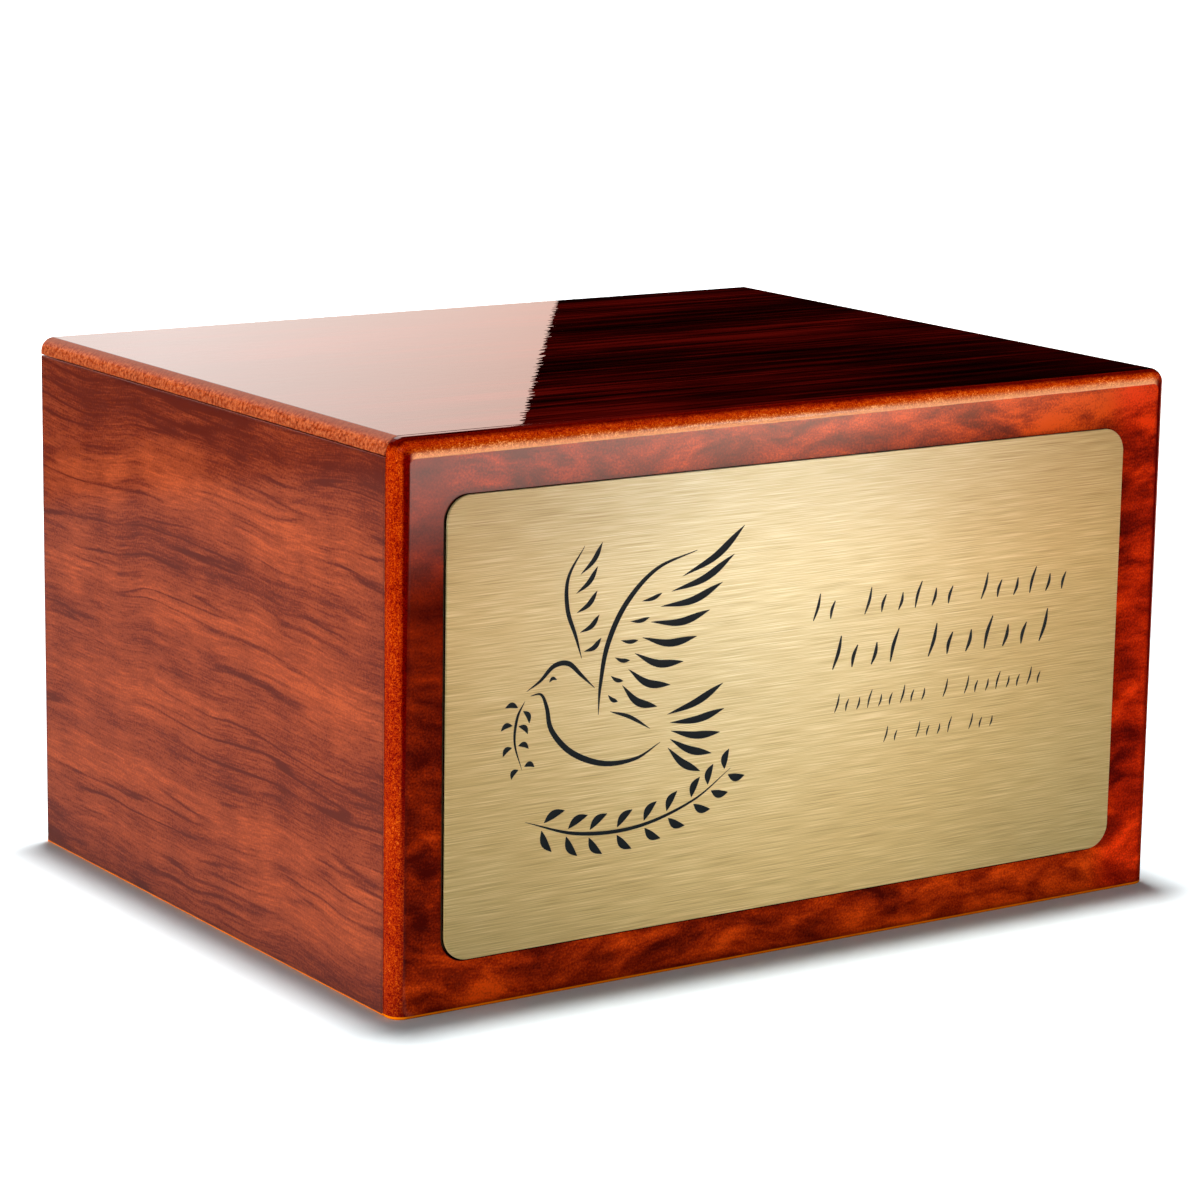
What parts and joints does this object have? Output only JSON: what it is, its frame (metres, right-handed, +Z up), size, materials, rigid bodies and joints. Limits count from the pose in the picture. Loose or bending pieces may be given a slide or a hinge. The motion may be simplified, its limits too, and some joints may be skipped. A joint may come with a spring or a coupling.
{
  "type": "cremation urn box",
  "caption": "Rectangular hollow box urn of film-faced boards with rounded bare edges, a thin engraved name plate on the front and a screwed base board.",
  "frame": {"origin": "the middle of the overall box on X and Y, at the level of the surface it stands on", "axes": "+Z up, front with the name plate facing -Y, +X to the right of someone who faces the front"},
  "size_m": [0.222, 0.1768, 0.132],
  "materials": {
    "cherry_film": "fibreboard faced with a red cherry-grain film under clear gloss lacquer, its rounded edges bare and stained orange-brown",
    "bare_board": "plain brown fibreboard, matt",
    "screw_steel": "yellow-passivated steel, satin",
    "plate_metal": "pale brass-coloured sheet, brushed along its length, engraving filled dark"
  },
  "bodies": {
    "root": {"top_panel": "cherry_film", "left_side": "cherry_film", "right_side": "cherry_film", "front_panel": "cherry_film", "back_panel": "cherry_film", "base_panel": "bare_board", "base_screw_front_left": "screw_steel", "base_screw_front_right": "screw_steel", "base_screw_back_left": "screw_steel", "base_screw_back_right": "screw_steel", "name_plate": "plate_metal"}
  },
  "joints": []
}
